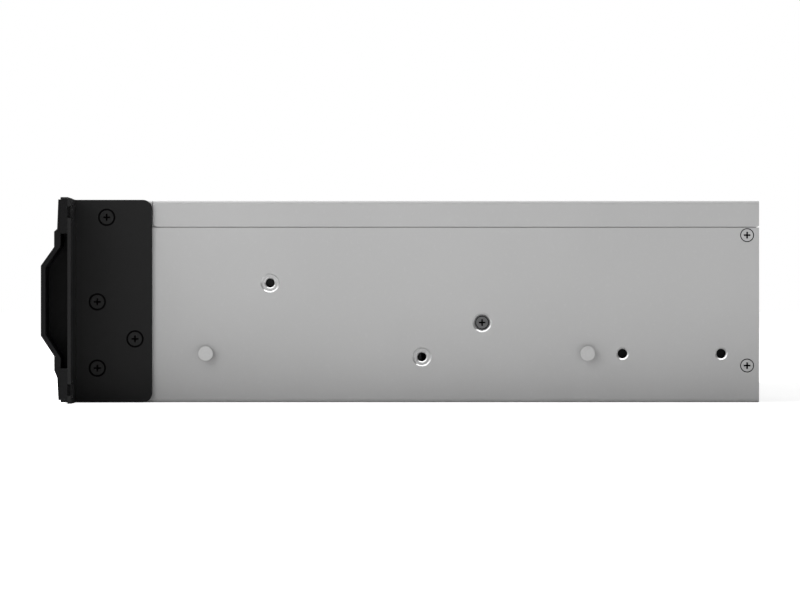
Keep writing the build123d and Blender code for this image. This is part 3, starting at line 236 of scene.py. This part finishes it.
def lamp(name):
    # a light pipe, lit a little unevenly from behind
    look = lampGlow
    paint = Paint(name)
    core = paint.noise(look["coreScale"], detail=1.0)
    tone = paint.blend(core, tinted(look["colour"], look["dim"]), look["colour"])
    return paint.shade(Base_Color=tone, Roughness=look["roughness"], Emission_Color=tone,
                       Emission_Strength=look["strength"])


finishes = {
    "grey_sheet": paintedSheet("grey_powder_coat", sheetPaint["grey"], roughness=0.6, peelStrength=0.12, shine=0.12),
    "black_sheet": paintedSheet("black_powder_coat", sheetPaint["black"], roughness=0.46, peelStrength=0.35,
                                shine=0.08),
    "zinc_sheet": brushedMetal("zinc_plated_sheet", (0.43, 0.435, 0.44), roughness=0.42, stretch=(1, 0.04, 1),
                               spots=0.25),
    "grip_plastic": mouldedPlastic("grip_plastic", (0.0055, 0.0055, 0.0058), roughness=0.36, grainStrength=0.3,
                                   shine=0.1),
    "tray_plastic": mouldedPlastic("tray_plastic", (0.011, 0.011, 0.0115), roughness=0.5, grainStrength=0.35,
                                   shine=0.2),
    "lever_plastic": mouldedPlastic("lever_plastic", (0.02, 0.0205, 0.022), roughness=0.38, grainStrength=0.2,
                                    shine=0.3),
    "button_plastic": mouldedPlastic("button_plastic", (0.06, 0.06, 0.062), roughness=0.3, grainStrength=0.12,
                                     coat=0.2),
    "clear_plastic": lamp("light_pipe"),
    "black_screw": paintedSheet("black_screw_coat", tinted(sheetPaint["black"], 0.95), roughness=0.42,
                                peelStrength=0.1, shine=0.12),
    "steel_screw": brushedMetal("zinc_plated_steel", (0.55, 0.55, 0.548), roughness=0.3, strength=0.15),
    "circuit_board": circuitBoard("green_solder_mask"),
    "drive_case": brushedMetal("cast_drive_case", (0.5, 0.5, 0.51), roughness=0.46, strength=0.35),
    "cooler_metal": brushedMetal("extruded_aluminium", (0.52, 0.525, 0.53), roughness=0.38, stretch=(1, 0.03, 1)),
    "socket_shell": brushedMetal("tinned_shell", (0.62, 0.62, 0.6), roughness=0.26, stretch=(1, 1, 0.1),
                                 strength=0.1),
    "fan_plastic": mouldedPlastic("fan_plastic", (0.011, 0.011, 0.0115), roughness=0.5, grainStrength=0.15,
                                  shine=0.25),
    "supply_case": paintedSheet("supply_coat", (0.0055, 0.0055, 0.006), roughness=0.45, peelStrength=0.3, shine=0.12),
    "inlet_plastic": mouldedPlastic("inlet_plastic", (0.014, 0.014, 0.014), roughness=0.35, grainStrength=0.1),
}
# near-black painted shade, laid in the screw grooves and cross recesses where shade falls
recessShade = mouldedPlastic("recess_shade", (0.0012, 0.0012, 0.0013), roughness=0.7, grainStrength=0.05, shine=0.04)
rimMetal = brushedMetal("pressed_rim", (0.6, 0.6, 0.6), roughness=0.25)
# darker metal for the screw head and floor in the side-wall dimple: painted shade of that recess
dimpleShadeMetal = brushedMetal("dimple_painted_shade", (0.15, 0.15, 0.152), roughness=0.4)
for name, piece in nodes.items():
    piece.data.materials.clear()
    piece.data.materials.append(finishes[slotOf[name]])
print("finishes:", len(finishes))


def newPiece(name, mesh, body, slot, *materials):
    piece = bpy.data.objects.new(name, mesh)
    bpy.context.scene.collection.objects.link(piece)
    for material in materials:
        mesh.materials.append(material)
    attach(piece, body)
    return piece


def meshFrom(bm, name):
    bmesh.ops.recalc_face_normals(bm, faces=bm.faces)
    mesh = bpy.data.meshes.new(name)
    bm.to_mesh(mesh)
    bm.free()
    return mesh


def ringOf(bm, points):
    return [bm.verts.new(point) for point in points]


def bridge(bm, lower, upper, material=0):
    count = len(lower)
    for i in range(count):
        j = (i + 1) % count
        bm.faces.new((lower[i], lower[j], upper[j], upper[i])).material_index = material


def circlePoints(radius, z, sides):
    turn = 2 * math.pi / sides
    return [(radius * math.cos(i * turn), radius * math.sin(i * turn), z) for i in range(sides)]


weldDigits, orderDigits = 6, 4


def looseParts(node):
    # lowest and highest corner of each separate solid of a node
    mesh = nodes[node].data
    parent = list(range(len(mesh.vertices)))

    def root(i):
        while parent[i] != i:
            parent[i] = parent[parent[i]]
            i = parent[i]
        return i

    byPlace = {}
    for vertex in mesh.vertices:
        key = tuple(round(c, weldDigits) for c in vertex.co)
        parent[root(vertex.index)] = root(byPlace.setdefault(key, vertex.index))
    for edge in mesh.edges:
        parent[root(edge.vertices[0])] = root(edge.vertices[1])
    parts = {}
    for vertex in mesh.vertices:
        low, high = parts.setdefault(root(vertex.index), (vertex.co.copy(), vertex.co.copy()))
        for axis in range(3):
            low[axis] = min(low[axis], vertex.co[axis])
            high[axis] = max(high[axis], vertex.co[axis])
    return sorted(parts.values(), key=lambda part: tuple(round(c, orderDigits) for c in part[0]))


# holes of both side walls: centres as (y, z), profiles as (radius, height) from the outside in, all in mm
sideHoles = {
    "plane": 215.25, "sides": 48,
    "railHoles": [(95.6, 21.2), (138.5, 21.2)],
    "inserts": [(8.4, 19.8), (-57.6, 51.9)],
    "dimpledScrew": [(34.6, 34.7)],
    "chamfer": [(2.78, 0.01), (2.72, -0.01), (2.09, -0.5), (2.04, -0.8)],
    "dished": [(4.18, 0.01), (4.12, -0.01), (3.6, -0.44), (3.5, -0.485)],
    "cup": [(3.62, -0.455), (3.5, -0.48), (3.04, -0.49)],
    "mouth": [(2.52, -0.475), (2.44, -0.49), (1.98, -0.85), (1.94, -1.1)],
}


def inCup(place):
    # whether a screw sits in the dimple of a side wall
    reach = sideHoles["dished"][0][0] * mm
    return any(math.hypot(place.y - y * mm, place.z - z * mm) < reach for y, z in sideHoles["dimpledScrew"])


crossShape = {"sides": 40, "width": 0.25, "depth": 1.1, "taper": 0.45}


def crossPoints(arm, width, z):
    corner = [(arm, -width), (arm, width), (width, width)]
    points = []
    for quarter in range(4):
        turn = Matrix.Rotation(quarter * math.pi / 2, 2)
        points += [(*(turn @ Vector(place)), z) for place in corner]
    return points


def screwHead(name, profile, arm):
    # a screw turned from (radius, height, material) rings, tip first, with a cross recess in its flat top; material 1
    # is painted shade, on the groove rings and on the recess walls and floor
    shape = crossShape
    bm = bmesh.new()
    rings = [ringOf(bm, circlePoints(radius, z, shape["sides"])) for radius, z, _ in profile]
    for lower, upper, (_, _, material) in zip(rings, rings[1:], profile):
        bridge(bm, lower, upper, material)
    bm.faces.new(rings[0])
    width = arm * shape["width"]
    mouth = ringOf(bm, crossPoints(arm, width, 0))
    taper = shape["taper"]
    floor = ringOf(bm, crossPoints(arm * taper, width * taper, -arm * shape["depth"]))
    rim = [(ring[i], ring[(i + 1) % len(ring)]) for ring in (rings[-1], mouth) for i in range(len(ring))]
    edges = [bm.edges.get(pair) or bm.edges.new(pair) for pair in rim]
    bmesh.ops.triangle_fill(bm, use_beauty=True, edges=edges)
    bridge(bm, floor, mouth, 1)
    bm.faces.new(floor).material_index = 1
    return meshFrom(bm, name)


# shares of a head's rim and depth
headShape = {"sunk": 0.01 * mm, "grooveSlope": 0.4, "grooveDepth": 0.25, "lip": 1.1,
             "domeSide": 0.55, "domeSlope": 0.4, "domeTop": 0.16}


def flatHead(head, shank, depth, length, rim):
    # countersunk, with a fine groove round its flat, painted near-black (material 1) as shade
    groove = -rim * headShape["grooveDepth"]
    return [(shank, -length, 0), (shank, -depth, 0), (head, -headShape["sunk"], 1),
            (head - rim * headShape["grooveSlope"], groove, 1), (head - rim, groove, 0),
            (head - rim * headShape["lip"], 0, 0)]


def roundHead(head, shank, depth, length, rim):
    # low domed head standing on the sheet
    return [(shank, -length, 0), (shank, -depth, 0), (head, -depth, 0), (head, -depth * headShape["domeSide"], 0),
            (head - rim * headShape["domeSlope"], -depth * headShape["domeTop"], 0), (head - rim, 0, 0)]


screws = {
    "ear_screws": {"style": flatHead, "facing": "x", "head": 3.75 * mm, "shank": 1.9 * mm, "depth": 1.4 * mm,
                   "rim": 0.74 * mm, "arm": 1.5 * mm},
    "steel_screws": {"style": flatHead, "facing": "x", "head": 3.0 * mm, "shank": 1.4 * mm, "depth": 1.0 * mm,
                     "rim": 0.37 * mm, "arm": 1.45 * mm},
    "cover_screws": {"style": flatHead, "facing": "y", "head": 2.7 * mm, "shank": 1.4 * mm, "depth": 1.0 * mm,
                     "rim": 0.3 * mm, "arm": 1.35 * mm},
    "fan_screws": {"style": roundHead, "facing": "y", "head": 2.8 * mm, "shank": 1.4 * mm, "depth": 1.0 * mm,
                   "rim": 0.9 * mm, "arm": 1.3 * mm},
}


def dressScrews(node, style, facing, arm, **sizes):
    # one recessed screw over each plain one of a node, facing along an axis
    axis = "xyz".index(facing)
    for index, (low, high) in enumerate(looseParts(node)):
        place = (low + high) / 2
        outward = 1 if facing == "y" or place[axis] > 0 else -1
        place[axis] = high[axis] if outward > 0 else low[axis]
        turn = Vector((0, 0, 1)).rotation_difference(Vector([outward if i == axis else 0 for i in range(3)]))
        mesh = screwHead(f"{node}_{index + 1}", style(length=high[axis] - low[axis], **sizes), arm)
        mesh.transform(Matrix.Translation(place) @ turn.to_matrix().to_4x4())
        # a screw in the side-wall dimple takes the darker metal, painted shade of the dimple
        metal = dimpleShadeMetal if inCup(place) else finishes[slotOf[node]]
        piece = newPiece(f"{node}_head_{index + 1}", mesh, bodyOf[node], slotOf[node], metal, recessShade)
        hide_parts(node)


for node, sizes in screws.items():
    dressScrews(node, **sizes)
print("screws dressed:", len(screws))


def sideRims(name, profile, centres, material):
    # thin turned rims in the holes of both side walls
    bm = bmesh.new()
    for side in (1, -1):
        turn = Matrix.Rotation(side * math.pi / 2, 4, "Y")
        for y, z in centres:
            place = Matrix.Translation((side * sideHoles["plane"] * mm, y * mm, z * mm)) @ turn
            circles = [circlePoints(radius * mm, height * mm, sideHoles["sides"]) for radius, height in profile]
            rings = [ringOf(bm, [place @ Vector(point) for point in circle]) for circle in circles]
            for outer, inner in zip(rings, rings[1:]):
                bridge(bm, outer, inner)
    return newPiece(name, meshFrom(bm, name), bodyOf["chassis_pan"], "zinc_sheet", material)


sideRims("rail_hole_rims", sideHoles["chamfer"], sideHoles["railHoles"], rimMetal)
sideRims("dimple_rims", sideHoles["dished"], sideHoles["inserts"] + sideHoles["dimpledScrew"], rimMetal)
sideRims("insert_mouths", sideHoles["mouth"], sideHoles["inserts"], rimMetal)
# a dark floor ring in the dimple round its screw, painted shade
sideRims("screw_cup", sideHoles["cup"], sideHoles["dimpledScrew"], dimpleShadeMetal)
print("side rims set in")


def stageObject(name, data):
    made = bpy.data.objects.new(name, data)
    bpy.context.scene.collection.objects.link(made)
    return made


studio = {"distance": 1.705, "side": 0.21525, "aimY": -0.0011, "aimZ": 0.0445, "lens": 176.5, "filmWidth": 36.0,
          "near": 0.05, "far": 30.0}


def placeCamera():
    # level with the box and square to its right-hand side
    camera = stageObject("camera", bpy.data.cameras.new("camera"))
    camera.data.lens = studio["lens"]
    camera.data.sensor_width = studio["filmWidth"]
    camera.data.clip_start = studio["near"]
    camera.data.clip_end = studio["far"]
    camera.location = (studio["side"] + studio["distance"], studio["aimY"], studio["aimZ"])
    camera.rotation_euler = (math.pi / 2, 0, math.pi / 2)
    bpy.context.scene.camera = camera


lightAim = (0, 0, 0.04)
lights = {
    "over": {"power": 84.0, "size": 0.6, "length": 0.6, "place": (-0.34, -1.6, 1.5)},
    "side": {"power": 11.2, "size": 1.3, "length": 1.3, "place": (1.0, -1.2, 0.9)},
    "glint": {"power": 8.0, "size": 1.8, "length": 0.3, "place": (0.52, 0.05, 1.2), "glossOnly": True},
}


def areaLight(name, power, size, length, place, glossOnly=False):
    # glossOnly lights shiny edges alone and adds nothing to the tone of the sheets
    light = stageObject(name, bpy.data.lights.new(name, "AREA"))
    light.data.energy = power
    light.data.shape = "RECTANGLE"
    light.data.size = size
    light.data.size_y = length
    light.location = place
    light.rotation_euler = (Vector(lightAim) - Vector(place)).to_track_quat("-Z", "Y").to_euler()
    light.visible_diffuse = not glossOnly


room = {"sky": (0.335, 0.335, 0.335), "backdrop": (1, 1, 1),
        "floorWhite": 0.95, "floorGlow": 0.72, "floorGrain": 30.0, "floorDim": 0.985, "floorSize": 12.0}


def paintSky():
    # a grey sky for the light, white where the camera sees it
    world = bpy.data.worlds.new("studio")
    bpy.context.scene.world = world
    world.use_nodes = True
    tree = world.node_tree
    tree.nodes.clear()
    seen = tree.nodes.new("ShaderNodeLightPath")
    mix = tree.nodes.new("ShaderNodeMixShader")
    out = tree.nodes.new("ShaderNodeOutputWorld")
    tree.links.new(seen.outputs["Is Camera Ray"], mix.inputs[0])
    for socket, colour in ((1, room["sky"]), (2, room["backdrop"])):
        background = tree.nodes.new("ShaderNodeBackground")
        background.inputs["Color"].default_value = (*colour, 1.0)
        tree.links.new(background.outputs[0], mix.inputs[socket])
    tree.links.new(mix.outputs[0], out.inputs[0])


def layFloor():
    # white floor that keeps the shadow and lights up only for the camera
    paint = Paint("studio_floor")
    grain = paint.noise(room["floorGrain"])
    white = (room["floorWhite"],) * 3
    tone = paint.blend(grain, tinted(white, room["floorDim"]), white)
    diffuse = paint.node("ShaderNodeBsdfDiffuse", {}, {"Color": tone})
    seen = paint.node("ShaderNodeLightPath", output="Is Camera Ray")
    glow = paint.node("ShaderNodeEmission", {}, {"Color": room["backdrop"], "Strength": seen * room["floorGlow"]})
    both = paint.node("ShaderNodeAddShader", {}, {0: diffuse, 1: glow})
    paint.node("ShaderNodeOutputMaterial", {}, {"Surface": both})
    bm = bmesh.new()
    bmesh.ops.create_grid(bm, x_segments=1, y_segments=1, size=room["floorSize"])
    mesh = meshFrom(bm, "studio_floor")
    mesh.materials.append(paint.material)
    stageObject("studio_floor", mesh)


placeCamera()
for which, values in lights.items():
    areaLight(f"{which}_light", **values)
paintSky()
layFloor()
bpy.context.scene.view_settings.view_transform = "Standard"
print("studio ready")
